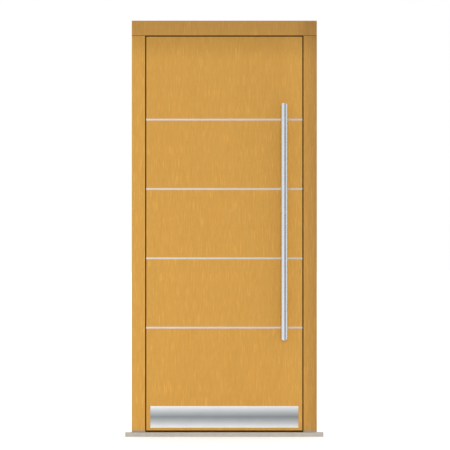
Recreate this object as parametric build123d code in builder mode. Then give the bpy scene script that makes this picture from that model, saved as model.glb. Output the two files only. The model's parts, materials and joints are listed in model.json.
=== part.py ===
from build123d import *
import os

# Panelled front door with its frame, in millimetres.
# X runs to the right as seen from outside, Y into the house, Z up.
# The origin is on the underside of the sill, at the middle of the frame's width and depth.

os.makedirs("parts", exist_ok=True)

# Frame
frame_width = 990
frame_top = 2225
frame_depth = 78
jamb_face = 72
head_face = 80
rebate = 22
stop_depth = 34
arris = 1.2

# Sill and the pads that carry the jambs
sill_length = 1059
sill_height = 24
sill_fall = 2.5
nose_reach = 30
insulator_thickness = 12
inner_threshold_height = 10
pad_height = 8

# Gaps round the leaf
side_gap = 5
rebate_gap = 4
head_gap = 5
seal_clearance = 0.3

# Leaf
outer_facing_thickness = 9
inner_facing_thickness = 9
stile_width = 110
top_rail_depth = 110
bottom_rail_depth = 168

# Metal strips let into the outer facing
strip_height = 10
strip_depth = 3
strip_proud = 0.4
strip_pitch = 371
lowest_strip = 582.5
strip_count = 4

# Kick plate
kick_width = 792
kick_height = 116
kick_bottom = 47
kick_thickness = 1.5

# Pull bar
bar_radius = 19
bar_wall = 2
bar_x = 319
bar_bottom = 516
bar_length = 1267
hand_gap = 45
post_radius = 10
post_inset = 190
post_flange_radius = 15
post_flange_thickness = 4
bolt_radius = 4
bolt_in_post = 21
bolt_in_leaf = 54

# Hinges
hinge_heights = [300, 1100, 1900]
barrel_radius = 10
barrel_stand_off = 11
barrel_height = 120
knuckle_gap = 0.5
pin_radius = 5
pin_clearance = 0.05
wing_thickness = 3
wing_depth = 30

# Lock
lock_y = 19
backset = 65
lever_height = 1050
cylinder_height = 958
faceplate_width = 20
faceplate_thickness = 3
faceplate_bottom = 250
faceplate_top = 1950
case_thickness = 16
case_wall = 1.5
case_depth = 88
case_bottom = 925
case_top = 1100
bolt_case_depth = 40
bolt_case_height = 70
bolt_heights = {"upper": 1750, "lower": 400}
round_bolt_radius = 6
bolt_thickness = 12
latch_height = 1069
latch_size = 26
latch_throw = 12
deadbolt_height = 986
deadbolt_size = 32
slot_clearance = 0.4
rod_thickness = 2.5
rod_width = 10
rosette_radius = 26
rosette_thickness = 8

# Lever
lever_radius = 10
lever_length = 125
lever_reach = 58
spindle_side = 8
follower_radius = 11

# Lines that the pieces share
half_width = frame_width / 2
outer_y = -frame_depth / 2
inner_y = frame_depth / 2
opening_half = half_width - jamb_face
opening_top = frame_top - head_face
stop_y = outer_y + stop_depth
rebate_half = opening_half + rebate
rebate_top = opening_top + rebate
jamb_bottom = sill_height + pad_height
nose_y = outer_y - nose_reach
insulator_y = stop_y - insulator_thickness

leaf_half = opening_half - side_gap
leaf_bottom = jamb_bottom
leaf_top = opening_top - head_gap
lip_y = stop_y + rebate_gap
lip_half = rebate_half - rebate_gap
lip_bottom = inner_threshold_height + rebate_gap
lip_top = rebate_top - rebate_gap
core_front = outer_y + outer_facing_thickness
core_back = inner_y - inner_facing_thickness
stile_inner = leaf_half - stile_width
top_rail_bottom = leaf_top - top_rail_depth
bottom_rail_top = leaf_bottom + bottom_rail_depth
strip_heights = [lowest_strip + index * strip_pitch for index in range(strip_count)]

bar_y = outer_y - hand_gap - bar_radius
bar_front_y = bar_y - bar_radius
bar_top = bar_bottom + bar_length
post_heights = [bar_bottom + post_inset, bar_top - post_inset]

hinge_x = -(lip_half + rebate_half) / 2
hinge_y = inner_y + barrel_stand_off
knuckle_height = barrel_height / 3

faceplate_x = lip_half - faceplate_thickness
case_front = lock_y - case_thickness / 2
case_back = lock_y + case_thickness / 2
case_left = faceplate_x - case_depth
bolt_case_left = faceplate_x - bolt_case_depth
lever_x = lip_half - backset

# Places shared by the leaf and the frame along the lock edge
strike_width = 24
main_strike_bottom = 935
main_strike_top = 1115
pocket_depth = 20
wall_fixing_y = 17
wall_fixing_radius = 5.5
wall_fixing_heights = [180, 750, 1400, 2060]


def bar_between(low, high, mode=Mode.ADD):
    """A rectangle between two opposite corners, in the sketch that is open."""
    with Locations(low):
        Rectangle(high[0] - low[0], high[1] - low[1], align=Align.MIN, mode=mode)


def screw_profile(length, head_radius, shank_radius):
    """Half of a countersunk screw's outline, point down, with its head's face on the X axis."""
    head_depth = head_radius - shank_radius
    return [
        (0, 0),
        (head_radius, 0),
        (shank_radius, -head_depth),
        (shank_radius, -length + shank_radius * 2),
        (0, -length),
    ]


# Fasteners come first, because the timber and the plates are bored to them.
small_screw_length = 30
small_screw_head = 4.5
small_screw_shank = 2.2
long_screw_length = 130
long_screw_head = 6
long_screw_shank = 3
outer_screw_y = 24
middle_screw_y = 16
screw_rise = 44
hinge_screw_spots = [(outer_screw_y, -screw_rise), (middle_screw_y, 0), (outer_screw_y, screw_rise)]
strike_screw_inset = 15
small_strike_screw_offset = 24

with BuildPart() as small_screw:
    with BuildSketch(Plane.XZ):
        Polygon(*screw_profile(small_screw_length, small_screw_head, small_screw_shank))
    revolve(axis=Axis.Z)

with BuildPart() as long_screw:
    with BuildSketch(Plane.XZ):
        Polygon(*screw_profile(long_screw_length, long_screw_head, long_screw_shank))
    revolve(axis=Axis.Z)

faceplate_screw_heights = [280, 650, 900, 1130, 1400, 1920]
strike_screw_heights = [main_strike_bottom + strike_screw_inset, main_strike_top - strike_screw_inset]
for height in bolt_heights.values():
    strike_screw_heights += [height - small_strike_screw_offset, height + small_strike_screw_offset]

with BuildPart() as frame_screws:
    for height in hinge_heights:
        for y, z in hinge_screw_spots:
            with Locations(Location((-rebate_half, y, height + z), (0, 90, 0))):
                add(small_screw.part)
    for height in strike_screw_heights:
        with Locations(Location((rebate_half, lock_y, height), (0, -90, 0))):
            add(small_screw.part)
frame_screws.part.label = "frame_screws"
export_step(frame_screws.part, "parts/frame_screws.step")

with BuildPart() as leaf_screws:
    for height in hinge_heights:
        for y, z in hinge_screw_spots:
            with Locations(Location((-lip_half, y, height + z), (0, -90, 0))):
                add(small_screw.part)
    for height in faceplate_screw_heights:
        with Locations(Location((lip_half, lock_y, height), (0, 90, 0))):
            add(small_screw.part)
leaf_screws.part.label = "leaf_screws"
export_step(leaf_screws.part, "parts/leaf_screws.step")

corner_screw_x = 470
head_screw_ys = [-20, 20]
sill_screw_ys = [-26, 20]
head_screw_recess = 10
sill_screw_recess = 2
screw_recess_radius = 6

with BuildPart() as long_screws:
    for x in (-corner_screw_x, corner_screw_x):
        for y in head_screw_ys:
            with Locations((x, y, frame_top - head_screw_recess)):
                add(long_screw.part)
        for y in sill_screw_ys:
            with Locations(Location((x, y, sill_screw_recess), (180, 0, 0))):
                add(long_screw.part)
long_screws.part.label = "long_screws"
export_step(long_screws.part, "parts/long_screws.step")

# Sill: an extruded nose with a fall and a drip groove, its horns in front of the reveals
drip_radius = 3
drip_inset = 9
nose_radius = 3
horn_chamfer = 0.5

with BuildPart() as sill:
    with BuildSketch(Plane.YZ) as sill_section:
        with BuildLine():
            Polyline(
                (nose_y, 0),
                (insulator_y, 0),
                (insulator_y, sill_height),
                (outer_y, sill_height),
                (nose_y, sill_height - sill_fall),
                close=True,
            )
        make_face()
        nose_corner = sill_section.vertices().group_by(Axis.X)[0].sort_by(Axis.Y)[-1]
        fillet(nose_corner, nose_radius)
        with Locations((nose_y + drip_inset, 0)):
            Circle(drip_radius, mode=Mode.SUBTRACT)
    extrude(amount=sill_length / 2, both=True)
    with BuildSketch(Plane.XY):
        for side in (-1, 1):
            horn = (sill_length - frame_width) / 2
            with Locations((side * (half_width + horn / 2), (outer_y + insulator_y) / 2)):
                Rectangle(horn, insulator_y - outer_y)
    extrude(amount=sill_height, mode=Mode.SUBTRACT)
    horn_ends = sill.faces().filter_by(Axis.X).group_by(Axis.X)
    chamfer([horn_ends[0].edges(), horn_ends[-1].edges()], horn_chamfer)
    add(long_screws.part, mode=Mode.SUBTRACT)
    with BuildSketch(Plane.XY):
        with Locations((-corner_screw_x, sill_screw_ys[0]), (corner_screw_x, sill_screw_ys[0])):
            Circle(screw_recess_radius)
    extrude(amount=sill_screw_recess, mode=Mode.SUBTRACT)
sill.part.label = "sill"
export_step(sill.part, "parts/sill.step")

# Thermal break behind the sill: a hollow profile whose back face is the leaf's bottom stop
insulator_wall = 2
insulator_hollow_height = 10.5
seal_middle = 18.5
seal_half_height = 3
seal_root = 3
root_half_height = 1.5
seal_bulb = rebate_gap - seal_clearance

with BuildPart() as threshold_insulator:
    with BuildSketch(Plane.YZ):
        bar_between((insulator_y, 0), (stop_y, sill_height))
        bar_between(
            (insulator_y + insulator_wall, insulator_wall),
            (stop_y - insulator_wall, insulator_wall + insulator_hollow_height),
            mode=Mode.SUBTRACT,
        )
        bar_between(
            (stop_y - seal_root, seal_middle - root_half_height),
            (stop_y, seal_middle + root_half_height),
            mode=Mode.SUBTRACT,
        )
    extrude(amount=half_width, both=True)
threshold_insulator.part.label = "threshold_insulator"
export_step(threshold_insulator.part, "parts/threshold_insulator.step")

# Inner threshold, with shallow grooves along its top for grip
grip_middle_y = 15
grip_groove_count = 5
grip_groove_pitch = 6
grip_groove_width = 2
grip_groove_depth = 0.8
inner_nose_radius = 3

with BuildPart() as threshold_inner:
    with BuildSketch(Plane.YZ) as inner_section:
        bar_between((stop_y, 0), (inner_y, inner_threshold_height))
        fillet(inner_section.vertices().group_by(Axis.X)[-1].sort_by(Axis.Y)[-1], inner_nose_radius)
        with Locations((grip_middle_y, inner_threshold_height)):
            with GridLocations(grip_groove_pitch, 0, grip_groove_count, 1):
                Rectangle(grip_groove_width, 2 * grip_groove_depth, mode=Mode.SUBTRACT)
    extrude(amount=half_width, both=True)
    with BuildSketch(Plane.XY):
        with Locations((-corner_screw_x, sill_screw_ys[1]), (corner_screw_x, sill_screw_ys[1])):
            Circle(screw_recess_radius)
    extrude(amount=sill_screw_recess, mode=Mode.SUBTRACT)
    add(long_screws.part, mode=Mode.SUBTRACT)
threshold_inner.part.label = "threshold_inner"
export_step(threshold_inner.part, "parts/threshold_inner.step")

# Seals: a ring round the sides and top, and a straight length across the threshold
seal_width = 8
seal_offset = 14
seal_half = opening_half + seal_offset
seal_top = opening_top + seal_offset
root_inset = 1.5
bulb_edge = 0.5
bulb_taper = 2.2
tip_half_height = 1

with BuildPart() as frame_gasket:
    with BuildSketch(Plane.XZ.offset(-stop_y)):
        bar_between((-seal_half, jamb_bottom), (seal_half, seal_top))
        bar_between(
            (-seal_half + seal_width, jamb_bottom),
            (seal_half - seal_width, seal_top - seal_width),
            mode=Mode.SUBTRACT,
        )
    extrude(amount=-seal_bulb)
    bulb_edges = frame_gasket.faces().filter_by(Axis.Y).sort_by(Axis.Y)[-1].edges()
    long_edges = bulb_edges.filter_by(lambda edge: edge.length > 2 * seal_width)
    chamfer(long_edges, seal_bulb - bulb_edge, bulb_taper)
    with BuildSketch(Plane.XZ.offset(-stop_y)):
        bar_between((-seal_half + root_inset, jamb_bottom), (seal_half - root_inset, seal_top - root_inset))
        bar_between(
            (-seal_half + seal_width - root_inset, jamb_bottom),
            (seal_half - seal_width + root_inset, seal_top - seal_width + root_inset),
            mode=Mode.SUBTRACT,
        )
    extrude(amount=seal_root)
frame_gasket.part.label = "frame_gasket"
export_step(frame_gasket.part, "parts/frame_gasket.step")

with BuildPart() as threshold_gasket:
    with BuildSketch(Plane.YZ):
        Polygon(
            (stop_y - seal_root, seal_middle - root_half_height),
            (stop_y, seal_middle - root_half_height),
            (stop_y, seal_middle - seal_half_height),
            (stop_y + seal_bulb, seal_middle - tip_half_height),
            (stop_y + seal_bulb, seal_middle + tip_half_height),
            (stop_y, seal_middle + seal_half_height),
            (stop_y, seal_middle + root_half_height),
            (stop_y - seal_root, seal_middle + root_half_height),
        )
    extrude(amount=seal_half, both=True)
threshold_gasket.part.label = "threshold_gasket"
export_step(threshold_gasket.part, "parts/threshold_gasket.step")


def jamb_outline(side):
    """The rebated section of the jamb on one side, -1 for the hinges and 1 for the lock."""
    points = [
        (opening_half, outer_y),
        (half_width, outer_y),
        (half_width, inner_y),
        (rebate_half, inner_y),
        (rebate_half, stop_y),
        (opening_half, stop_y),
    ]
    return [(side * x, y) for x, y in points]


# Hinges: two knuckles on the jamb, one on the leaf, and a pin with a cap at each end
wing_far_y = inner_y - wing_depth
frame_knuckles = [-barrel_height / 2, barrel_height / 2 - knuckle_height + knuckle_gap]
leaf_knuckle_bottom = -knuckle_height / 2 + knuckle_gap / 2
trimmed_knuckle_height = knuckle_height - knuckle_gap
cap_radius = barrel_radius - 0.5
cap_tip_radius = 7
cap_edge = 1
cap_height = 4

for number, height in enumerate(hinge_heights, start=1):
    with BuildPart() as hinge_frame_wing:
        with BuildSketch(Plane.XY.offset(height - barrel_height / 2)):
            bar_between((-rebate_half - wing_thickness, wing_far_y), (-rebate_half, inner_y))
        extrude(amount=barrel_height)
        for foot in frame_knuckles:
            with BuildSketch(Plane.XY.offset(height + foot)):
                with Locations((hinge_x, hinge_y)):
                    Circle(barrel_radius)
                bar_between(
                    (-rebate_half - wing_thickness, inner_y - wing_thickness),
                    (-rebate_half, hinge_y),
                )
                with Locations((hinge_x, hinge_y)):
                    Circle(pin_radius, mode=Mode.SUBTRACT)
            extrude(amount=trimmed_knuckle_height)
        add(frame_screws.part, mode=Mode.SUBTRACT)
    hinge_frame_wing.part.label = f"hinge_frame_wing_{number}"
    export_step(hinge_frame_wing.part, f"parts/hinge_frame_wing_{number}.step")

    with BuildPart() as hinge_leaf_wing:
        with BuildSketch(Plane.XY.offset(height - barrel_height / 2)):
            bar_between((-lip_half, wing_far_y), (-lip_half + wing_thickness, inner_y))
        extrude(amount=barrel_height)
        with BuildSketch(Plane.XY.offset(height + leaf_knuckle_bottom)):
            with Locations((hinge_x, hinge_y)):
                Circle(barrel_radius)
            bar_between((-lip_half, inner_y - wing_thickness), (-lip_half + wing_thickness, hinge_y))
            with Locations((hinge_x, hinge_y)):
                Circle(pin_radius + pin_clearance, mode=Mode.SUBTRACT)
        extrude(amount=trimmed_knuckle_height)
        add(leaf_screws.part, mode=Mode.SUBTRACT)
    hinge_leaf_wing.part.label = f"hinge_leaf_wing_{number}"
    export_step(hinge_leaf_wing.part, f"parts/hinge_leaf_wing_{number}.step")

    pin_place = (hinge_x, hinge_y, height)
    with BuildPart() as hinge_pin:
        with BuildSketch(Plane(origin=pin_place, x_dir=(1, 0, 0), z_dir=(0, -1, 0))):
            Polygon(
                (0, -barrel_height / 2 - cap_height),
                (cap_tip_radius, -barrel_height / 2 - cap_height),
                (cap_radius, -barrel_height / 2 - cap_edge),
                (cap_radius, -barrel_height / 2),
                (pin_radius, -barrel_height / 2),
                (pin_radius, barrel_height / 2),
                (cap_radius, barrel_height / 2),
                (cap_radius, barrel_height / 2 + cap_edge),
                (cap_tip_radius, barrel_height / 2 + cap_height),
                (0, barrel_height / 2 + cap_height),
            )
        revolve(axis=Axis(pin_place, (0, 0, 1)))
    hinge_pin.part.label = f"hinge_pin_{number}"
    export_step(hinge_pin.part, f"parts/hinge_pin_{number}.step")


# Plates in the lock jamb, with a slot for each bolt
small_strike_half = 36
strike_corner = 4
slot_half_width = 7.5
latch_slot_half = 15
deadbolt_slot_half = 19


def strike_slots(height, mode=Mode.ADD):
    """The holes of one strike, in the sketch that is open."""
    slots = [(height, slot_half_width)]
    if height == lever_height:
        slots = [(latch_height, latch_slot_half), (deadbolt_height, deadbolt_slot_half)]
    for middle, half in slots:
        with Locations((lock_y, middle)):
            Rectangle(2 * slot_half_width, 2 * half, mode=mode)


strikes = {"main_strike": (lever_height, main_strike_bottom, main_strike_top)}
for place, height in bolt_heights.items():
    strikes[f"{place}_strike"] = (height, height - small_strike_half, height + small_strike_half)

for name, (height, low, high) in strikes.items():
    with BuildPart() as strike:
        with BuildSketch(Plane.YZ.offset(rebate_half)) as strike_face:
            bar_between((lock_y - strike_width / 2, low), (lock_y + strike_width / 2, high))
            fillet(strike_face.vertices(), strike_corner)
            strike_slots(height, mode=Mode.SUBTRACT)
        extrude(amount=faceplate_thickness)
        add(frame_screws.part, mode=Mode.SUBTRACT)
    strike.part.label = name
    export_step(strike.part, f"parts/{name}.step")

# Jambs, with the hinges' or the strikes' recesses and the holes for the wall fixings
counterbore_radius = 10
counterbore_depth = 12

for side, name in ((-1, "hinge_side"), (1, "lock_side")):
    with BuildPart() as jamb:
        with BuildSketch(Plane.XY.offset(jamb_bottom)) as section:
            Polygon(*jamb_outline(side))
            chamfer(section.vertices().group_by(Axis.Y)[0], arris)
        extrude(amount=opening_top - jamb_bottom)
        with BuildSketch(Plane.XY.offset(opening_top)):
            bar_between(
                (min(side * rebate_half, side * half_width), stop_y),
                (max(side * rebate_half, side * half_width), inner_y),
            )
        extrude(amount=rebate)
        with BuildSketch(Plane.XY.offset(jamb_bottom)):
            groove = sorted((side * (seal_half - root_inset), side * (seal_half - seal_width + root_inset)))
            bar_between((groove[0], stop_y - seal_root), (groove[1], stop_y))
        extrude(amount=opening_top - jamb_bottom, mode=Mode.SUBTRACT)
        with BuildSketch(Plane.YZ.offset(side * rebate_half)):
            with Locations([(wall_fixing_y, height) for height in wall_fixing_heights]):
                Circle(wall_fixing_radius)
        extrude(amount=side * (half_width - rebate_half), mode=Mode.SUBTRACT)
        with BuildSketch(Plane.YZ.offset(side * rebate_half)):
            with Locations([(wall_fixing_y, height) for height in wall_fixing_heights]):
                Circle(counterbore_radius)
        extrude(amount=side * counterbore_depth, mode=Mode.SUBTRACT)
        if side < 0:
            with BuildSketch(Plane.YZ.offset(-rebate_half)):
                for height in hinge_heights:
                    bar_between(
                        (wing_far_y, height - barrel_height / 2),
                        (inner_y, height + barrel_height / 2),
                    )
            extrude(amount=-wing_thickness, mode=Mode.SUBTRACT)
            add(frame_screws.part, mode=Mode.SUBTRACT)
        else:
            for height, low, high in strikes.values():
                with BuildSketch(Plane.YZ.offset(rebate_half)) as recess:
                    bar_between((lock_y - strike_width / 2, low), (lock_y + strike_width / 2, high))
                    fillet(recess.vertices(), strike_corner)
                extrude(amount=faceplate_thickness, mode=Mode.SUBTRACT)
                with BuildSketch(Plane.YZ.offset(rebate_half)):
                    strike_slots(height)
                extrude(amount=faceplate_thickness + pocket_depth, mode=Mode.SUBTRACT)
            add(frame_screws.part, mode=Mode.SUBTRACT)
        add(long_screws.part, mode=Mode.SUBTRACT)
    jamb.part.label = f"jamb_{name}"
    export_step(jamb.part, f"parts/jamb_{name}.step")

    with BuildPart() as foot:
        with BuildSketch(Plane.XY.offset(inner_threshold_height)):
            Polygon(*jamb_outline(side))
        extrude(amount=jamb_bottom - inner_threshold_height)
        with BuildSketch(Plane.XY.offset(inner_threshold_height)):
            bar_between(
                (min(side * opening_half, side * half_width), outer_y),
                (max(side * opening_half, side * half_width), stop_y),
            )
        extrude(amount=sill_height - inner_threshold_height, mode=Mode.SUBTRACT)
        add(long_screws.part, mode=Mode.SUBTRACT)
    foot.part.label = f"jamb_foot_{name}"
    export_step(foot.part, f"parts/jamb_foot_{name}.step")

# Head: it runs over both jambs and carries the same rebate
with BuildPart() as head:
    with BuildSketch(Plane.YZ) as head_section:
        Polygon(
            (outer_y, opening_top),
            (stop_y, opening_top),
            (stop_y, rebate_top),
            (inner_y, rebate_top),
            (inner_y, frame_top),
            (outer_y, frame_top),
        )
        chamfer(head_section.vertices().group_by(Axis.X)[0], arris)
    extrude(amount=half_width, both=True)
    with BuildSketch(Plane.XZ.offset(-stop_y)):
        bar_between(
            (-seal_half + root_inset, opening_top),
            (seal_half - root_inset, seal_top - root_inset),
        )
        bar_between(
            (-seal_half + seal_width - root_inset, opening_top),
            (seal_half - seal_width + root_inset, seal_top - seal_width + root_inset),
            mode=Mode.SUBTRACT,
        )
    extrude(amount=seal_root, mode=Mode.SUBTRACT)
    with BuildSketch(Plane.XY.offset(frame_top)):
        with Locations([(x, y) for x in (-corner_screw_x, corner_screw_x) for y in head_screw_ys]):
            Circle(screw_recess_radius)
    extrude(amount=-head_screw_recess, mode=Mode.SUBTRACT)
    add(long_screws.part, mode=Mode.SUBTRACT)
head.part.label = "head"
export_step(head.part, "parts/head.step")

# Lock pieces that stand still in the leaf
cylinder_screw_drop = 14
cylinder_screw_length = 69
cylinder_screw_place = (lip_half, lock_y, cylinder_height - cylinder_screw_drop)

with BuildPart() as cylinder_screw:
    with BuildSketch(Plane(origin=cylinder_screw_place, x_dir=(0, 1, 0), z_dir=(0, 0, -1))):
        Polygon(*screw_profile(cylinder_screw_length, small_screw_head, small_screw_shank))
    revolve(axis=Axis(cylinder_screw_place, (1, 0, 0)))
cylinder_screw.part.label = "cylinder_screw"
export_step(cylinder_screw.part, "parts/cylinder_screw.step")

bolt_half = bolt_thickness / 2 + slot_clearance
latch_low = latch_height - latch_size / 2
latch_high = latch_height + latch_size / 2
deadbolt_low = deadbolt_height - deadbolt_size / 2
deadbolt_high = deadbolt_height + deadbolt_size / 2
rod_x = faceplate_x - case_wall - slot_clearance - rod_thickness
rod_low_y = lock_y - rod_width / 2
rod_high_y = lock_y + rod_width / 2


def bolt_slots(mode=Mode.ADD):
    """The holes for the latch and the deadbolt, in the sketch that is open."""
    for low, high in ((latch_low, latch_high), (deadbolt_low, deadbolt_high)):
        bar_between(
            (lock_y - bolt_half, low - slot_clearance),
            (lock_y + bolt_half, high + slot_clearance),
            mode=mode,
        )


def rod_slot():
    """The hole that a drive rod passes through, in the sketch that is open."""
    bar_between(
        (rod_x - slot_clearance, rod_low_y - slot_clearance),
        (rod_x + rod_thickness + slot_clearance, rod_high_y + slot_clearance),
    )


with BuildPart() as lock_faceplate:
    with BuildSketch(Plane.YZ.offset(faceplate_x)):
        with Locations((lock_y, (faceplate_bottom + faceplate_top) / 2)):
            SlotOverall(faceplate_top - faceplate_bottom, faceplate_width, rotation=90)
        bolt_slots(mode=Mode.SUBTRACT)
        with Locations([(lock_y, height) for height in bolt_heights.values()]):
            Circle(round_bolt_radius + slot_clearance, mode=Mode.SUBTRACT)
    extrude(amount=faceplate_thickness)
    add(leaf_screws.part, mode=Mode.SUBTRACT)
    add(cylinder_screw.part, mode=Mode.SUBTRACT)
lock_faceplate.part.label = "lock_faceplate"
export_step(lock_faceplate.part, "parts/lock_faceplate.step")


cylinder_radius = 8.5
cylinder_lug_half = 5
cylinder_lug_drop = 24.5
cylinder_clearance = 0.3
cylinder_bore_clearance = 0.5
cylinder_inset = 2
cylinder_proud = 4
spindle_hole_radius = 8
lever_bore_radius = 9


def profile_cylinder(clearance=0, mode=Mode.ADD):
    """The key-cylinder section, a disc with a lug below it, in the sketch that is open."""
    lug_half = cylinder_lug_half + clearance
    with Locations((lever_x, cylinder_height)):
        Circle(cylinder_radius + clearance, mode=mode)
    bar_between(
        (lever_x - lug_half, cylinder_height - cylinder_lug_drop - clearance),
        (lever_x + lug_half, cylinder_height),
        mode=mode,
    )


with BuildPart() as lock_case:
    with BuildSketch(Plane.XZ.offset(-case_front)):
        bar_between((case_left, case_bottom), (faceplate_x, case_top))
    extrude(amount=-case_thickness)
    offset(amount=-case_wall, mode=Mode.SUBTRACT)
    with BuildSketch(Plane.YZ.offset(faceplate_x)):
        bolt_slots()
    extrude(amount=-case_wall, mode=Mode.SUBTRACT)
    with BuildSketch(Plane.XZ.offset(-case_front)):
        profile_cylinder(clearance=cylinder_clearance)
        with Locations((lever_x, lever_height)):
            Circle(spindle_hole_radius)
    extrude(amount=-case_thickness, mode=Mode.SUBTRACT)
    with BuildSketch(Plane.XY.offset(case_bottom)):
        rod_slot()
    extrude(amount=case_top - case_bottom, mode=Mode.SUBTRACT)
    add(cylinder_screw.part, mode=Mode.SUBTRACT)
lock_case.part.label = "lock_case"
export_step(lock_case.part, "parts/lock_case.step")

for place, height in bolt_heights.items():
    with BuildPart() as bolt_case:
        with BuildSketch(Plane.XZ.offset(-case_front)):
            bar_between(
                (bolt_case_left, height - bolt_case_height / 2),
                (faceplate_x, height + bolt_case_height / 2),
            )
        extrude(amount=-case_thickness)
        offset(amount=-case_wall, mode=Mode.SUBTRACT)
        with BuildSketch(Plane.YZ.offset(faceplate_x)):
            with Locations((lock_y, height)):
                Circle(round_bolt_radius + slot_clearance)
        extrude(amount=-case_wall, mode=Mode.SUBTRACT)
        rod_side = -1 if place == "upper" else 1
        with BuildSketch(Plane.XY.offset(height + rod_side * bolt_case_height / 2)):
            rod_slot()
        extrude(amount=-rod_side * case_wall, mode=Mode.SUBTRACT)
    bolt_case.part.label = f"{place}_bolt_case"
    export_step(bolt_case.part, f"parts/{place}_bolt_case.step")

cylinder_start = case_front + cylinder_inset
cylinder_end = inner_y + rosette_thickness + cylinder_proud
turn_shaft_radius = 4
turn_bore_depth = 25

with BuildPart() as lock_cylinder:
    with BuildSketch(Plane.XZ.offset(-cylinder_start)):
        profile_cylinder()
    extrude(amount=cylinder_start - cylinder_end)
    with BuildSketch(Plane.XZ.offset(-cylinder_end)):
        with Locations((lever_x, cylinder_height)):
            Circle(turn_shaft_radius + pin_clearance)
    extrude(amount=turn_bore_depth, mode=Mode.SUBTRACT)
    add(cylinder_screw.part, mode=Mode.SUBTRACT)
lock_cylinder.part.label = "lock_cylinder"
export_step(lock_cylinder.part, "parts/lock_cylinder.step")

rosette_chamfer = 1.5

with BuildPart() as lever_rosette:
    with BuildSketch(Plane.XZ.offset(-inner_y)):
        with Locations((lever_x, lever_height)):
            Circle(rosette_radius)
    extrude(amount=-rosette_thickness)
    chamfer(lever_rosette.edges().filter_by(GeomType.CIRCLE).sort_by(Axis.Y)[-1], rosette_chamfer)
    with BuildSketch(Plane.XZ.offset(-inner_y)):
        with Locations((lever_x, lever_height)):
            Circle(lever_radius + pin_clearance)
    extrude(amount=-rosette_thickness, mode=Mode.SUBTRACT)
lever_rosette.part.label = "lever_rosette"
export_step(lever_rosette.part, "parts/lever_rosette.step")

with BuildPart() as cylinder_rosette:
    with BuildSketch(Plane.XZ.offset(-inner_y)):
        with Locations((lever_x, cylinder_height)):
            Circle(rosette_radius)
    extrude(amount=-rosette_thickness)
    chamfer(cylinder_rosette.edges().filter_by(GeomType.CIRCLE).sort_by(Axis.Y)[-1], rosette_chamfer)
    with BuildSketch(Plane.XZ.offset(-inner_y)):
        profile_cylinder()
    extrude(amount=-rosette_thickness, mode=Mode.SUBTRACT)
cylinder_rosette.part.label = "cylinder_rosette"
export_step(cylinder_rosette.part, "parts/cylinder_rosette.step")

# Lever: a round neck through the rosette, bent over into the grip
neck_clearance = 0.6
neck_start = inner_y + neck_clearance
grip_y = inner_y + lever_reach
lever_bend = 16
lever_end_radius = 5
spindle_socket_depth = 32

with BuildPart() as lever_handle:
    with BuildLine():
        FilletPolyline(
            (lever_x, neck_start, lever_height),
            (lever_x, grip_y, lever_height),
            (lever_x - lever_length, grip_y, lever_height),
            radius=lever_bend,
        )
    with BuildSketch(Plane.XZ.offset(-neck_start)):
        with Locations((lever_x, lever_height)):
            Circle(lever_radius)
    sweep()
    fillet(lever_handle.edges().sort_by(Axis.X)[0], lever_end_radius)
    with BuildSketch(Plane.XZ.offset(-neck_start)):
        with Locations((lever_x, lever_height)):
            Rectangle(spindle_side, spindle_side)
    extrude(amount=-spindle_socket_depth, mode=Mode.SUBTRACT)
lever_handle.part.label = "lever_handle"
export_step(lever_handle.part, "parts/lever_handle.step")

follower_play = 0.5
spindle_front = case_front + case_wall + follower_play
spindle_chamfer = 0.6

with BuildPart() as lever_spindle:
    with BuildSketch(Plane.XZ.offset(-spindle_front)):
        with Locations((lever_x, lever_height)):
            Rectangle(spindle_side, spindle_side)
    extrude(amount=spindle_front - neck_start - spindle_socket_depth)
    chamfer(lever_spindle.edges().group_by(Axis.Y)[0], spindle_chamfer)
lever_spindle.part.label = "lever_spindle"
export_step(lever_spindle.part, "parts/lever_spindle.step")

with BuildPart() as lock_follower:
    with BuildSketch(Plane.XZ.offset(-spindle_front)):
        with Locations((lever_x, lever_height)):
            Circle(follower_radius)
            Rectangle(spindle_side, spindle_side, mode=Mode.SUBTRACT)
    extrude(amount=-bolt_thickness)
lock_follower.part.label = "lock_follower"
export_step(lock_follower.part, "parts/lock_follower.step")

# Latch, with its slope on the side that meets the strike as the leaf closes
bolt_low_y = lock_y - bolt_thickness / 2
bolt_high_y = lock_y + bolt_thickness / 2
latch_tail = 43
latch_lead = 1
latch_tip = 4

with BuildPart() as latch_bolt:
    with BuildSketch(Plane.XY.offset(latch_low)):
        Polygon(
            (lip_half - latch_tail, bolt_low_y),
            (lip_half + latch_lead, bolt_low_y),
            (lip_half + latch_throw, bolt_high_y - latch_tip),
            (lip_half + latch_throw, bolt_high_y),
            (lip_half - latch_tail, bolt_high_y),
        )
    extrude(amount=latch_size)
latch_bolt.part.label = "latch_bolt"
export_step(latch_bolt.part, "parts/latch_bolt.step")

deadbolt_tail = 56
deadbolt_chamfer = 1

with BuildPart() as deadbolt:
    with BuildSketch(Plane.XZ.offset(-bolt_low_y)):
        bar_between((lip_half - deadbolt_tail, deadbolt_low), (lip_half, deadbolt_high))
    extrude(amount=-bolt_thickness)
    chamfer(deadbolt.edges().group_by(Axis.X)[-1], deadbolt_chamfer)
deadbolt.part.label = "deadbolt"
export_step(deadbolt.part, "parts/deadbolt.step")

round_bolt_tail = 38
round_bolt_chamfer = 1.5

for place, height in bolt_heights.items():
    with BuildPart() as round_bolt:
        with BuildSketch(Plane.YZ.offset(lip_half - round_bolt_tail)):
            with Locations((lock_y, height)):
                Circle(round_bolt_radius)
        extrude(amount=round_bolt_tail)
        chamfer(round_bolt.edges().filter_by(GeomType.CIRCLE).sort_by(Axis.X)[-1], round_bolt_chamfer)
    round_bolt.part.label = f"{place}_bolt"
    export_step(round_bolt.part, f"parts/{place}_bolt.step")

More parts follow.
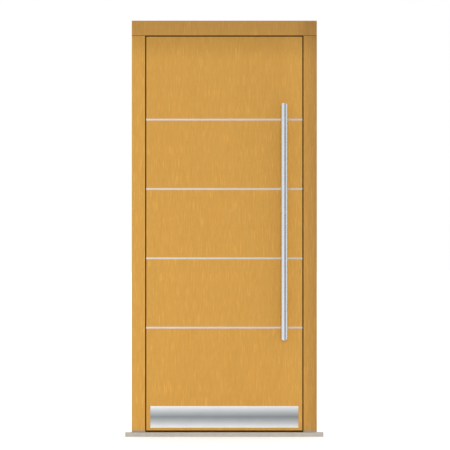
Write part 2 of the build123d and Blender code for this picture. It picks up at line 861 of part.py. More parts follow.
# Rods that run behind the faceplate, from the main case to the two bolt cases
# Each is slotted where the faceplate's screws pass, so that it can travel up or down.
rod_travel = 12
rod_slot_width = 5.6
rod_in_bolt_case = 10
upper_rod_in_case = 15
lower_rod_in_case = 13
upper_rod_end = bolt_heights["upper"] - bolt_case_height / 2 + rod_in_bolt_case
lower_rod_end = bolt_heights["lower"] + bolt_case_height / 2 - rod_in_bolt_case
rods = {
    "upper": (case_top - upper_rod_in_case, upper_rod_end, faceplate_screw_heights[3:5], -1),
    "lower": (lower_rod_end, case_bottom + lower_rod_in_case, faceplate_screw_heights[1:3], 1),
}

for place, (low, high, screws, slot_side) in rods.items():
    with BuildPart() as drive_rod:
        with BuildSketch(Plane.YZ.offset(rod_x)):
            bar_between((rod_low_y, low), (rod_high_y, high))
            with Locations([(lock_y, height + slot_side * rod_travel / 2) for height in screws]):
                SlotOverall(rod_travel + rod_slot_width, rod_slot_width, rotation=90, mode=Mode.SUBTRACT)
        extrude(amount=rod_thickness)
    drive_rod.part.label = f"drive_rod_{place}"
    export_step(drive_rod.part, f"parts/drive_rod_{place}.step")

# Thumbturn: a shaft in the cylinder and a flat-sided knob
turn_clearance = 0.5
turn_start = cylinder_end + turn_clearance
turn_collar_radius = 15
turn_collar_thickness = 4
turn_collar_chamfer = 1
turn_grip_height = 27
turn_grip_width = 8
turn_grip_reach = 18
turn_grip_chamfer = 1.5
turn_shaft_length = 22

with BuildPart() as thumbturn:
    with BuildSketch(Plane.XZ.offset(-turn_start)):
        with Locations((lever_x, cylinder_height)):
            Circle(turn_collar_radius)
    extrude(amount=-turn_collar_thickness)
    chamfer(thumbturn.edges().filter_by(GeomType.CIRCLE).sort_by(Axis.Y)[-1], turn_collar_chamfer)
    with BuildSketch(Plane.XZ.offset(-turn_start - turn_collar_thickness)):
        with Locations((lever_x, cylinder_height)):
            SlotOverall(turn_grip_height, turn_grip_width, rotation=90)
    extrude(amount=-turn_grip_reach)
    chamfer(thumbturn.faces().sort_by(Axis.Y)[-1].edges(), turn_grip_chamfer)
    with BuildSketch(Plane.XZ.offset(-turn_start)):
        with Locations((lever_x, cylinder_height)):
            Circle(turn_shaft_radius)
    extrude(amount=turn_shaft_length)
thumbturn.part.label = "thumbturn"
export_step(thumbturn.part, "parts/thumbturn.step")

# Pull bar: a round tube with both ends cut at 45 degrees, longest at the front
top_cut = Plane(origin=(bar_x, bar_front_y, bar_top), x_dir=(1, 0, 0), z_dir=(0, 1, 1))
bottom_cut = Plane(origin=(bar_x, bar_front_y, bar_bottom), x_dir=(1, 0, 0), z_dir=(0, 1, -1))

with BuildPart() as pull_bar:
    with BuildSketch(Plane.XY.offset(bar_bottom)):
        with Locations((bar_x, bar_y)):
            Circle(bar_radius)
            Circle(bar_radius - bar_wall, mode=Mode.SUBTRACT)
    extrude(amount=bar_length)
    split(bisect_by=top_cut, keep=Keep.BOTTOM)
    split(bisect_by=bottom_cut, keep=Keep.BOTTOM)
pull_bar.part.label = "pull_bar"
export_step(pull_bar.part, "parts/pull_bar.step")

end_cap_thickness = 2
cap_reach = 3 * bar_radius

with BuildPart() as pull_bar_end_caps:
    with BuildSketch(Plane.XY.offset(bar_bottom)):
        with Locations((bar_x, bar_y)):
            Circle(bar_radius - bar_wall)
    extrude(amount=bar_length)
    split(bisect_by=top_cut, keep=Keep.BOTTOM)
    split(bisect_by=bottom_cut, keep=Keep.BOTTOM)
    with BuildSketch(Plane.YZ.offset(bar_x)):
        Polygon(
            (bar_front_y, bar_bottom + end_cap_thickness),
            (bar_front_y + cap_reach, bar_bottom + end_cap_thickness + cap_reach),
            (bar_front_y + cap_reach, bar_top - end_cap_thickness - cap_reach),
            (bar_front_y, bar_top - end_cap_thickness),
        )
    extrude(amount=bar_radius, both=True, mode=Mode.SUBTRACT)
pull_bar_end_caps.part.label = "pull_bar_end_caps"
export_step(pull_bar_end_caps.part, "parts/pull_bar_end_caps.step")

post_spots = [(bar_x, height) for height in post_heights]
bolt_end_chamfer = 0.8
flange_chamfer = 1.2

with BuildPart() as pull_bar_bolts:
    with BuildSketch(Plane.XZ.offset(-outer_y + bolt_in_post)):
        with Locations(post_spots):
            Circle(bolt_radius)
    extrude(amount=-(bolt_in_post + bolt_in_leaf))
    chamfer(pull_bar_bolts.edges().filter_by(GeomType.CIRCLE), bolt_end_chamfer)
pull_bar_bolts.part.label = "pull_bar_bolts"
export_step(pull_bar_bolts.part, "parts/pull_bar_bolts.step")

with BuildPart() as pull_bar_posts:
    with BuildSketch(Plane.XZ.offset(-outer_y)):
        with Locations(post_spots):
            Circle(post_flange_radius)
    extrude(amount=post_flange_thickness)
    flange_rims = pull_bar_posts.edges().filter_by(GeomType.CIRCLE).group_by(Axis.Y)[0]
    chamfer(flange_rims, flange_chamfer)
    with BuildSketch(Plane.XZ.offset(-outer_y)):
        with Locations(post_spots):
            Circle(post_radius)
    extrude(amount=hand_gap + bar_radius)
    with BuildSketch(Plane.XY.offset(bar_bottom)):
        with Locations((bar_x, bar_y)):
            Circle(bar_radius)
    extrude(amount=bar_length, mode=Mode.SUBTRACT)
    add(pull_bar_bolts.part, mode=Mode.SUBTRACT)
pull_bar_posts.part.label = "pull_bar_posts"
export_step(pull_bar_posts.part, "parts/pull_bar_posts.step")

# Outer facing: one board, grooved for the strips and bored for the pull bar's bolts
with BuildPart() as outer_facing:
    with BuildSketch(Plane.XZ.offset(-core_front)):
        bar_between((-leaf_half, leaf_bottom), (leaf_half, leaf_top))
    extrude(amount=outer_facing_thickness)
    chamfer(outer_facing.faces().sort_by(Axis.Y)[0].edges(), arris)
    with BuildSketch(Plane.XZ.offset(-outer_y)):
        with Locations([(0, height) for height in strip_heights]):
            Rectangle(2 * leaf_half, strip_height)
    extrude(amount=-strip_depth, mode=Mode.SUBTRACT)
    add(pull_bar_bolts.part, mode=Mode.SUBTRACT)
outer_facing.part.label = "outer_facing"
export_step(outer_facing.part, "parts/outer_facing.step")

for number, height in enumerate(strip_heights, start=1):
    with BuildPart() as inlay_strip:
        with BuildSketch(Plane.YZ) as strip_section:
            bar_between(
                (outer_y - strip_proud, height - strip_height / 2),
                (outer_y + strip_depth, height + strip_height / 2),
            )
            chamfer(strip_section.vertices().group_by(Axis.X)[0], strip_proud)
        extrude(amount=leaf_half, both=True)
    inlay_strip.part.label = f"inlay_strip_{number}"
    export_step(inlay_strip.part, f"parts/inlay_strip_{number}.step")

kick_corner = 1.5
kick_bevel = 0.5

with BuildPart() as kick_plate:
    with BuildSketch(Plane.XZ.offset(-outer_y)) as kick_face:
        with Locations((0, kick_bottom + kick_height / 2)):
            Rectangle(kick_width, kick_height)
        fillet(kick_face.vertices(), kick_corner)
    extrude(amount=kick_thickness)
    chamfer(kick_plate.faces().sort_by(Axis.Y)[0].edges(), kick_bevel)
kick_plate.part.label = "kick_plate"
export_step(kick_plate.part, "parts/kick_plate.step")

# Inner facing, with the holes for the lever's spindle and the cylinder
with BuildPart() as inner_facing:
    with BuildSketch(Plane.XZ.offset(-core_back)):
        bar_between((-lip_half, lip_bottom), (lip_half, lip_top))
        with Locations((lever_x, lever_height)):
            Circle(lever_bore_radius, mode=Mode.SUBTRACT)
        profile_cylinder(clearance=cylinder_bore_clearance, mode=Mode.SUBTRACT)
    extrude(amount=-inner_facing_thickness)
    chamfer(inner_facing.faces().sort_by(Axis.Y)[-1].outer_wire().edges(), arris)
    with BuildSketch(Plane.YZ.offset(-lip_half)):
        for height in hinge_heights:
            bar_between((core_back, height - barrel_height / 2), (inner_y, height + barrel_height / 2))
    extrude(amount=wing_thickness, mode=Mode.SUBTRACT)
inner_facing.part.label = "inner_facing"
export_step(inner_facing.part, "parts/inner_facing.step")

# Stiles: a stepped section, mortised for the hinges or for the lock
rod_channel_play = 1

for side, name in ((-1, "hinge_stile"), (1, "lock_stile")):
    with BuildPart() as stile:
        with BuildSketch(Plane.XY.offset(leaf_bottom)):
            across = sorted((side * stile_inner, side * leaf_half))
            bar_between((across[0], core_front), (across[1], lip_y))
        extrude(amount=leaf_top - leaf_bottom)
        with BuildSketch(Plane.XY.offset(lip_bottom)):
            across = sorted((side * stile_inner, side * lip_half))
            bar_between((across[0], lip_y), (across[1], core_back))
        extrude(amount=lip_top - lip_bottom)
        if side < 0:
            with BuildSketch(Plane.YZ.offset(-lip_half)):
                for height in hinge_heights:
                    bar_between(
                        (wing_far_y, height - barrel_height / 2),
                        (core_back, height + barrel_height / 2),
                    )
            extrude(amount=wing_thickness, mode=Mode.SUBTRACT)
            add(leaf_screws.part, mode=Mode.SUBTRACT)
        else:
            with BuildSketch(Plane.YZ.offset(lip_half)):
                with Locations((lock_y, (faceplate_bottom + faceplate_top) / 2)):
                    SlotOverall(faceplate_top - faceplate_bottom, faceplate_width, rotation=90)
            extrude(amount=-faceplate_thickness, mode=Mode.SUBTRACT)
            with BuildSketch(Plane.YZ.offset(faceplate_x)):
                bar_between((case_front, case_bottom), (case_back, case_top))
            extrude(amount=-case_depth, mode=Mode.SUBTRACT)
            with BuildSketch(Plane.YZ.offset(faceplate_x)):
                with Locations([(lock_y, height) for height in bolt_heights.values()]):
                    Rectangle(case_thickness, bolt_case_height)
            extrude(amount=-bolt_case_depth, mode=Mode.SUBTRACT)
            with BuildSketch(Plane.YZ.offset(faceplate_x)):
                bar_between(
                    (rod_low_y - rod_channel_play, bolt_heights["lower"]),
                    (rod_high_y + rod_channel_play, bolt_heights["upper"]),
                )
            extrude(amount=rod_x - rod_channel_play - faceplate_x, mode=Mode.SUBTRACT)
            with BuildSketch(Plane.XZ.offset(-case_back)):
                with Locations((lever_x, lever_height)):
                    Circle(lever_bore_radius)
                profile_cylinder(clearance=cylinder_bore_clearance)
            extrude(amount=-(core_back - case_back), mode=Mode.SUBTRACT)
            add(leaf_screws.part, mode=Mode.SUBTRACT)
            add(pull_bar_bolts.part, mode=Mode.SUBTRACT)
    stile.part.label = name
    export_step(stile.part, f"parts/{name}.step")

with BuildPart() as top_rail:
    with BuildSketch(Plane.YZ):
        Polygon(
            (core_front, top_rail_bottom),
            (core_back, top_rail_bottom),
            (core_back, lip_top),
            (lip_y, lip_top),
            (lip_y, leaf_top),
            (core_front, leaf_top),
        )
    extrude(amount=stile_inner, both=True)
top_rail.part.label = "top_rail"
export_step(top_rail.part, "parts/top_rail.step")

# Bottom rail, grooved underneath for the fin that seals against the inner threshold
fin_y = 26
fin_root = 6
fin_half = 1.5
fin_tip_half = 0.6
fin_tip_z = inner_threshold_height + 0.5

with BuildPart() as bottom_rail:
    with BuildSketch(Plane.YZ):
        Polygon(
            (core_front, leaf_bottom),
            (lip_y, leaf_bottom),
            (lip_y, lip_bottom),
            (core_back, lip_bottom),
            (core_back, bottom_rail_top),
            (core_front, bottom_rail_top),
        )
        bar_between(
            (fin_y - fin_half, lip_bottom),
            (fin_y + fin_half, lip_bottom + fin_root),
            mode=Mode.SUBTRACT,
        )
    extrude(amount=stile_inner, both=True)
bottom_rail.part.label = "bottom_rail"
export_step(bottom_rail.part, "parts/bottom_rail.step")

with BuildPart() as bottom_seal:
    with BuildSketch(Plane.YZ):
        Polygon(
            (fin_y - fin_half, lip_bottom + fin_root),
            (fin_y - fin_half, lip_bottom),
            (fin_y - fin_tip_half, fin_tip_z),
            (fin_y + fin_tip_half, fin_tip_z),
            (fin_y + fin_half, lip_bottom),
            (fin_y + fin_half, lip_bottom + fin_root),
        )
    extrude(amount=stile_inner, both=True)
bottom_seal.part.label = "bottom_seal"
export_step(bottom_seal.part, "parts/bottom_seal.step")

with BuildPart() as insulation_core:
    with BuildSketch(Plane.XZ.offset(-core_back)):
        bar_between((-stile_inner, bottom_rail_top), (stile_inner, top_rail_bottom))
    extrude(amount=core_back - core_front)
insulation_core.part.label = "insulation_core"
export_step(insulation_core.part, "parts/insulation_core.step")
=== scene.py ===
import json
import math

import bmesh
import bpy
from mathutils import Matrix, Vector


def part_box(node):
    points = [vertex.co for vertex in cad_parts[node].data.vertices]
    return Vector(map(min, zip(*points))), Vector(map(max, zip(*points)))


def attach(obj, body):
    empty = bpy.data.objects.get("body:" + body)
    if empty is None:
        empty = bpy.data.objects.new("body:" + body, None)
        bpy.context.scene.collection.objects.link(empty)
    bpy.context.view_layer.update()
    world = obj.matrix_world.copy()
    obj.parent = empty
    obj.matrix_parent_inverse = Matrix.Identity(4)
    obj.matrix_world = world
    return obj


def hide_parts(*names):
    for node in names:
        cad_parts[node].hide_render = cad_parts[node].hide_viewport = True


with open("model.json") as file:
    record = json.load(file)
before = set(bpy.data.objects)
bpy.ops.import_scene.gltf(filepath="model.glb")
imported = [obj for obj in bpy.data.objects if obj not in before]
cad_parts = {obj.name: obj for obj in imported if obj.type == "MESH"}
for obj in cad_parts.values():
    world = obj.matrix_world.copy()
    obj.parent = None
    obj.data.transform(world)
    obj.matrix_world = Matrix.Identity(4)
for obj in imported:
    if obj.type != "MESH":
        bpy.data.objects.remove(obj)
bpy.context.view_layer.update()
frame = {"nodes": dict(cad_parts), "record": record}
nodes = frame["nodes"]

# Places in metres, from the frame: x to the right seen from outside, y into the house, z up
leaf_low, leaf_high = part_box("outer_facing")
LEAF_FACE_Y = leaf_low.y
LEAF_HALF = leaf_high.x
LEAF_BOTTOM, LEAF_TOP = leaf_low.z, leaf_high.z
LIP_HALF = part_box("inner_facing")[1].x
head_low, head_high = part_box("head")
FRAME_HALF, FRAME_TOP = head_high.x, head_high.z
OPENING_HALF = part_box("jamb_lock_side")[0].x
OPENING_TOP = head_low.z
strike_low, strike_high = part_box("main_strike")
REBATE_HALF = strike_low.x
LOCK_Y = (strike_low.y + strike_high.y) / 2
REBATE_Y = LEAF_FACE_Y + 0.038
STOP_Y = LEAF_FACE_Y + 0.034
FRONT_Y = LEAF_FACE_Y + 0.0015

# Camera: a long lens straight in front, whose view is VIEW_WIDTH across at the leaf's face
VIEW_WIDTH = 2.4075
VIEW_MIDDLE_X, VIEW_MIDDLE_Z = 0.0036, 1.1317
LENS_MM = 300.0
SENSOR_MM = 36.0
CAMERA_DISTANCE = VIEW_WIDTH * LENS_MM / SENSOR_MM

# Pull bar, as in the part: a tube whose ends are cut at 45 degrees, longest at the front
BAR_RADIUS = 0.019
BAR_WALL = 0.002
BAR_RIM = 0.0006
BAR_SEGMENTS, BAR_SPANS = 96, 24
bar_low, bar_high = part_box("pull_bar")
BAR_X, BAR_Y = bar_high.x - BAR_RADIUS, bar_low.y + BAR_RADIUS


def srgb(red, green, blue):
    """An 8-bit screen colour as the linear colour that renders to it."""
    linear = []
    for value in (red, green, blue):
        v = value / 255
        linear.append(v / 12.92 if v <= 0.04045 else ((v + 0.055) / 1.055) ** 2.4)
    return (*linear, 1.0)


def grey(level):
    return (level, level, level, 1.0)


def even(size):
    """A noise size that is the same along all three axes."""
    return (size, size, size)


class Look:
    """A Principled material, with the nodes that paint it in the part's own metres."""

    def __init__(self, name, roughness=0.5, metallic=0.0, specular=0.5):
        self.material = bpy.data.materials.new(name)
        self.material.use_nodes = True
        self.tree = self.material.node_tree
        self.shader = self.tree.nodes["Principled BSDF"]
        self.shader.inputs["Roughness"].default_value = roughness
        self.shader.inputs["Metallic"].default_value = metallic
        self.shader.inputs["Specular IOR Level"].default_value = specular
        self.place = self.tree.nodes.new("ShaderNodeTexCoord").outputs["Object"]
        self.axes = None

    def link(self, value, socket):
        if isinstance(value, bpy.types.NodeSocket):
            self.tree.links.new(value, socket)
        else:
            socket.default_value = value

    def axis(self, letter):
        """The place along x, y or z, or along ax, the distance from the door's middle."""
        if self.axes is None:
            split = self.tree.nodes.new("ShaderNodeSeparateXYZ")
            self.tree.links.new(self.place, split.inputs[0])
            self.axes = {"x": split.outputs[0], "y": split.outputs[1], "z": split.outputs[2]}
        if letter not in self.axes:
            self.axes[letter] = self.math("ABSOLUTE", self.axes[letter[1:]])
        return self.axes[letter]

    def math(self, operation, first, second=0.0):
        node = self.tree.nodes.new("ShaderNodeMath")
        node.operation = operation
        self.link(first, node.inputs[0])
        self.link(second, node.inputs[1])
        return node.outputs[0]

    def product(self, *factors):
        total = factors[0]
        for factor in factors[1:]:
            total = self.math("MULTIPLY", total, factor)
        return total

    def distance(self, letter, centre):
        """How far the place is from centre along one axis."""
        return self.math("ABSOLUTE", self.math("SUBTRACT", self.axis(letter), centre))

    def noise(self, size, detail, seed):
        """Noise from 0 to 1 whose features are about size metres along X, Y and Z."""
        scale = self.tree.nodes.new("ShaderNodeVectorMath")
        scale.operation = "MULTIPLY_ADD"
        self.tree.links.new(self.place, scale.inputs[0])
        scale.inputs[1].default_value = tuple(1 / s for s in size)
        scale.inputs[2].default_value = (seed, seed * 0.7 + 3.1, seed * 1.3 + 7.7)
        node = self.tree.nodes.new("ShaderNodeTexNoise")
        node.inputs["Scale"].default_value = 1.0
        node.inputs["Detail"].default_value = detail
        node.inputs["Roughness"].default_value = 0.5
        self.tree.links.new(scale.outputs[0], node.inputs["Vector"])
        return node.outputs[0]

    def ramp(self, value, low, high, out_low=0.0, out_high=1.0, smooth=True):
        """value from low..high to out_low..out_high, held beyond both ends."""
        node = self.tree.nodes.new("ShaderNodeMapRange")
        node.interpolation_type = "SMOOTHSTEP" if smooth else "LINEAR"
        node.clamp = True
        self.link(value, node.inputs["Value"])
        node.inputs["From Min"].default_value = low
        node.inputs["From Max"].default_value = high
        node.inputs["To Min"].default_value = out_low
        node.inputs["To Max"].default_value = out_high
        return node.outputs["Result"]

    def spread(self, noise, out_low, out_high):
        """The middle of a noise's range, where most of it lies, to out_low..out_high."""
        return self.ramp(noise, 0.3, 0.7, out_low, out_high)

    def toned(self, factor, tones):
        """factor times each tone, which is (axis, low, high, factor at low, factor at high)."""
        for letter, low, high, at_low, at_high in tones:
            tone = self.ramp(self.axis(letter), low, high, at_low, at_high, smooth=False)
            factor = self.math("MULTIPLY", factor, tone)
        return factor

    def mix(self, factor, first, second, mode="MIX"):
        node = self.tree.nodes.new("ShaderNodeMix")
        node.data_type = "RGBA"
        node.blend_type = mode
        self.link(factor, node.inputs[0])
        self.link(first, node.inputs[6])
        self.link(second, node.inputs[7])
        return node.outputs[2]

    def shade(self, colour, factor):
        """colour times a factor socket."""
        node = self.tree.nodes.new("ShaderNodeVectorMath")
        node.operation = "SCALE"
        self.link(colour if isinstance(colour, bpy.types.NodeSocket) else colour[:3], node.inputs[0])
        self.link(factor, node.inputs["Scale"])
        return node.outputs[0]

    def bump(self, height, depth, strength):
        """Relief of depth metres for each 1 of height, softened by strength."""
        node = self.tree.nodes.new("ShaderNodeBump")
        node.inputs["Strength"].default_value = strength
        node.inputs["Distance"].default_value = depth
        self.tree.links.new(height, node.inputs["Height"])
        self.tree.links.new(node.outputs[0], self.shader.inputs["Normal"])

    def colour(self, value):
        self.link(value, self.shader.inputs["Base Color"])

    def roughness(self, value):
        self.link(value, self.shader.inputs["Roughness"])


# Sizes of the grain's parts along x, y and z, and how much waves, flecks and pores change the tone
WAVE_SIZE, WAVE_DEPTH = (0.10, 0.10, 1.6), 0.01
STREAK_SIZE = (0.006, 0.006, 0.14)
FINE_SIZE = (0.0022, 0.0022, 0.06)
FLECK_SIZE, FLECK_DEPTH = (0.005, 0.005, 0.075), 0.13
PORE_SIZE, PORE_DEPTH = (0.0007, 0.0007, 0.012), 0.16


def wood(name, light, dark, seed, tones=(), stripes=(), contrast=1.0, roughness=0.5):
    """Lacquered wood with upright grain. Tones are as in toned. A stripe is a narrow line of
    another tone: (axis, centre, half width, colour, y where it ends)."""
    look = Look(name, roughness=roughness, specular=0.25)
    wave = look.noise(WAVE_SIZE, 2.0, seed)
    streak = look.noise(STREAK_SIZE, 3.0, seed + 11.0)
    fine = look.noise(FINE_SIZE, 2.0, seed + 23.0)
    fleck = look.noise(FLECK_SIZE, 1.0, seed + 37.0)
    pore = look.noise(PORE_SIZE, 1.0, seed + 51.0)

    figure = look.math("ADD", look.math("MULTIPLY", streak, 0.4), look.math("MULTIPLY", fine, 0.6))
    body = look.mix(look.ramp(figure, 0.34, 0.66), dark, light)
    flecks = look.ramp(fleck, 0.57, 0.68, 1.0, 1.0 + FLECK_DEPTH * contrast)
    waves = look.spread(wave, 1.0 - WAVE_DEPTH * contrast, 1.0 + WAVE_DEPTH * contrast)
    open_pore = look.ramp(pore, 0.60, 0.72)
    pitted = look.math("SUBTRACT", 1.0, look.math("MULTIPLY", open_pore, PORE_DEPTH))
    painted = look.shade(body, look.toned(look.product(flecks, waves, pitted), tones))

    for letter, centre, half, colour, last_y in stripes:
        line = look.ramp(look.distance(letter, centre), half * 0.6, half * 1.4, 0.8, 0.0)
        in_front = look.ramp(look.axis("y"), last_y - 0.0005, last_y + 0.0005, 1.0, 0.0)
        painted = look.mix(look.math("MULTIPLY", line, in_front), painted, colour)
    look.colour(painted)

    gloss = look.spread(figure, roughness + 0.06, roughness - 0.04)
    look.roughness(look.math("ADD", gloss, look.math("MULTIPLY", open_pore, 0.2)))
    relief = look.math("SUBTRACT", look.math("MULTIPLY", fine, 0.5), open_pore)
    look.bump(relief, 0.00012, 0.35)
    return look.material


# Sizes of the brushed lines and of the broader bands among them, across the brushing and along it
LINE_ACROSS, LINE_ALONG = 0.00035, 0.05
BAND_ACROSS, BAND_ALONG = 0.0018, 0.11


def brushed(name, colour, across, roughness, seed, depth=0.00002, painted_reflection=None):
    """Brushed metal whose lines run along the axis letters that aren't in across."""
    look = Look(name, roughness=roughness, metallic=1.0)
    line_size = tuple(LINE_ACROSS if letter in across else LINE_ALONG for letter in "xyz")
    band_size = tuple(BAND_ACROSS if letter in across else BAND_ALONG for letter in "xyz")
    lines = look.noise(line_size, 2.0, seed + 2.0)
    bands = look.noise(band_size, 2.0, seed + 5.0)
    clouds = look.noise(even(0.05), 3.0, seed + 9.0)

    line_tone = look.ramp(lines, 0.25, 0.75, 0.955, 1.035)
    painted = look.shade(colour, look.product(line_tone, look.spread(bands, 0.98, 1.015)))
    look.colour(painted_reflection(look, painted) if painted_reflection else painted)

    handled = look.ramp(clouds, 0.45, 0.7, 0.0, 0.08)
    gloss = look.ramp(lines, 0.2, 0.8, roughness - 0.05, roughness + 0.06)
    look.roughness(look.math("ADD", gloss, handled))
    look.bump(lines, depth, 0.25)
    return look.material


def cast_metal(name, colour, roughness, seed):
    """Plated or bead-blasted metal: fine orange peel, cloudy gloss and a few rubbed patches."""
    look = Look(name, roughness=roughness, metallic=1.0)
    grit = look.noise(even(0.0006), 2.0, seed)
    clouds = look.noise(even(0.02), 3.0, seed + 4.0)
    rubbed = look.ramp(look.noise(even(0.006), 3.0, seed + 8.0), 0.6, 0.72)
    tone = look.product(look.spread(grit, 0.97, 1.02), look.spread(clouds, 0.95, 1.03))
    look.colour(look.shade(colour, tone))
    gloss = look.spread(clouds, roughness - 0.04, roughness + 0.08)
    look.roughness(look.math("SUBTRACT", gloss, look.math("MULTIPLY", rubbed, 0.1)))
    look.bump(grit, 0.00003, 0.3)
    return look.material


def moulded(name, colour, roughness, seed, grain=0.0009, tones=()):
    """Plastic, rubber or a coating: a fine grain that is darker in its hollows, and cloudy gloss."""
    look = Look(name, roughness=roughness, specular=0.4)
    grit = look.noise(even(grain), 2.0, seed)
    clouds = look.noise(even(0.03), 3.0, seed + 6.0)
    tone = look.product(look.spread(grit, 0.97, 1.03), look.spread(clouds, 0.96, 1.04))
    look.colour(look.shade(colour, look.toned(tone, tones)))
    look.roughness(look.spread(clouds, roughness - 0.05, roughness + 0.08))
    look.bump(grit, 0.00006, 0.35)
    return look.material


def fibre_board(name, colour):
    """Pressed wood fibres, matt and coarse."""
    look = Look(name, roughness=0.95, specular=0.1)
    strand = look.noise((0.004, 0.004, 0.0012), 4.0, 1.0)
    clump = look.noise(even(0.012), 3.0, 5.0)
    tone = look.product(look.spread(strand, 0.8, 1.15), look.spread(clump, 0.9, 1.1))
    look.colour(look.shade(colour, tone))
    look.bump(strand, 0.0006, 0.6)
    return look.material


# Oak veneer. Light and dark are the two tones of the grain. The head's and the lock side jamb's tones are
# the same oak with painted shade
OAK_LIGHT, OAK_DARK = srgb(213, 160, 75), srgb(205, 151, 66)
HEAD_SHADED_LIGHT, HEAD_SHADED_DARK = srgb(189, 142, 70), srgb(181, 133, 61)
LOCK_SHADED_LIGHT, LOCK_SHADED_DARK = srgb(197, 148, 71), srgb(189, 139, 63)

# The edges along the gap carry painted shade, deepest on the hinge side's jamb and the leaf's foot and
# rebate
REVEAL_SHADE = 0.22
DEEP_SHADE = 0.12
REBATE_SHADE = 0.09

# How far in from an edge its painted shade holds, and how far in it has gone
LEAF_EDGE = (0.0004, 0.0012)
JAMB_EDGE = (0.0002, 0.0010)
REBATE_EDGE = (0.0002, 0.0008)


def painted_shade_low_edge(letter, place, edge, shade, plain=1.0):
    """The tone of a piece that begins at place along an axis, with painted shade there and plain further
    in.
    """
    return (letter, place + edge[0], place + edge[1], shade, plain)


def painted_shade_high_edge(letter, place, edge, shade):
    """The tone of a piece that ends at place along an axis, with painted shade there and plain further in.
    """
    return (letter, place - edge[1], place - edge[0], 1.0, shade)


# Narrow lines on the front: the frame's left and top edges, and the joint of the jambs with the head
EDGE_LINE_HALF, JOINT_HALF = 0.003, 0.0013
left_edge_line = ("x", -FRAME_HALF + 0.0025, EDGE_LINE_HALF, srgb(205, 160, 66), FRONT_Y)
top_edge_line = ("z", FRAME_TOP - 0.002, EDGE_LINE_HALF, srgb(181, 128, 66), FRONT_Y)
joint_line = ("z", OPENING_TOP, JOINT_HALF, srgb(66, 43, 17), STOP_Y)

# Painted light and shade: the veneer's tone rises a little towards the sill and falls close to the head
painted_height_shading = (
    ("z", 0.2, 2.0, 1.09, 1.0),
    ("z", LEAF_TOP - 0.125, LEAF_TOP, 1.0, 0.79),
)
leaf_tones = painted_height_shading + (
    # Painted shade growing to the right, painted light beside and right of the pull bar against its shadow,
    # and painted shade along the gap
    ("x", -0.42, 0.30, 1.0, 0.96),
    ("x", 0.30, 0.35, 1.0, 1.03),
    painted_shade_high_edge("ax", LEAF_HALF, LEAF_EDGE, REVEAL_SHADE),
    painted_shade_high_edge("z", LEAF_TOP, LEAF_EDGE, REVEAL_SHADE),
    painted_shade_low_edge("z", LEAF_BOTTOM, LEAF_EDGE, DEEP_SHADE),
)
hinge_jamb_tones = painted_height_shading + (
    painted_shade_low_edge("ax", OPENING_HALF, JAMB_EDGE, DEEP_SHADE, 1.02),
)
lock_jamb_tones = painted_height_shading + (
    # Painted shade deepening across the lock side jamb towards its outer edge
    ("x", OPENING_HALF + 0.0025, FRAME_HALF - 0.005, 1.035, 0.835),
    painted_shade_low_edge("ax", OPENING_HALF, JAMB_EDGE, REVEAL_SHADE),
)
# Painted shade on the head: darker towards its right end and a little darker towards its top
head_tones = (
    ("x", -0.49, 0.38, 1.0, 0.965),
    ("x", 0.385, 0.44, 1.0, 0.80),
    ("z", OPENING_TOP + 0.005, FRAME_TOP - 0.010, 1.02, 0.98),
)

oak_leaf = wood("oak_leaf", OAK_LIGHT, OAK_DARK, 1.0, leaf_tones)
oak_inside = wood("oak_inside", OAK_LIGHT, OAK_DARK, 61.0)
oak_jamb_left = wood(
    "oak_jamb_hinge_side", OAK_LIGHT, OAK_DARK, 17.0, hinge_jamb_tones, (left_edge_line, joint_line)
)
oak_jamb_right = wood(
    "oak_jamb_lock_side", LOCK_SHADED_LIGHT, LOCK_SHADED_DARK, 33.0, lock_jamb_tones, (joint_line,)
)
oak_head = wood("oak_head", HEAD_SHADED_LIGHT, HEAD_SHADED_DARK, 47.0, head_tones, (top_edge_line, joint_line))

# Core timber, with painted shade in the rebate that the gap shows
rebate_painted_shade = (painted_shade_low_edge("y", REBATE_Y, REBATE_EDGE, REBATE_SHADE),)
timber = wood(
    "core_timber", srgb(205, 165, 110), srgb(184, 140, 86), 71.0, rebate_painted_shade,
    contrast=1.4, roughness=0.75,
)


def kick_painted_reflection(look, painted):
    """The plate's painted reflection: soft bands, darkest and coolest along its middle, bright along both
    long edges.
    """
    low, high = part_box("kick_plate")
    middle, half = (low.z + high.z) / 2, (high.z - low.z) / 2
    away = look.distance("z", middle)
    level = look.math("POWER", look.ramp(away, 0.0, half, 0.595, 1.0, smooth=False), 2.2)
    coolness = look.ramp(away, 0.0, half, 1.0, 0.0, smooth=False)
    tint = look.mix(coolness, grey(1.0), (0.93, 1.0, 1.06, 1.0))
    return look.mix(1.0, look.shade(painted, level), tint, "MULTIPLY")


# Metals, smoothest on the pull bar
stainless_bar = brushed("stainless_bar", srgb(216, 219, 222), "xy", 0.18, 3.0, depth=0.000003)
stainless_satin = cast_metal("stainless_satin", srgb(204, 206, 207), 0.28, 13.0)
stainless_strip = brushed("stainless_strip", srgb(206, 208, 209), "xy", 0.3, 19.0)
# The kick plate's banded colour is a painted reflection
kick_steel = brushed("kick_plate_steel", srgb(247, 249, 249), "z", 0.34, 23.0, painted_reflection=kick_painted_reflection)
inlay = brushed("inlay_aluminium", srgb(223, 215, 206), "yz", 0.35, 29.0)
threshold = brushed("threshold_aluminium", srgb(198, 199, 199), "yz", 0.38, 37.0)
zinc = cast_metal("zinc_steel", srgb(188, 192, 193), 0.36, 53.0)
nickel = cast_metal("cylinder_nickel", srgb(205, 200, 188), 0.3, 59.0)

# The sill's coat, with painted shade under the leaf, then plastics, rubber and the leaf's core
sill_painted_shade = (("y", LEAF_FACE_Y, LEAF_FACE_Y + 0.006, 1.0, 0.3),)
sill_finish = moulded("sill_finish", srgb(194, 188, 178), 0.5, 31.0, grain=0.0006, tones=sill_painted_shade)
pad = moulded("pad_plastic", srgb(158, 154, 147), 0.6, 41.0)
black_plastic = moulded("black_plastic", srgb(38, 38, 39), 0.55, 43.0)
rubber = moulded("seal_rubber", srgb(30, 29, 29), 0.7, 45.0, grain=0.0005)
board = fibre_board("wood_fibre_board", srgb(160, 130, 94))

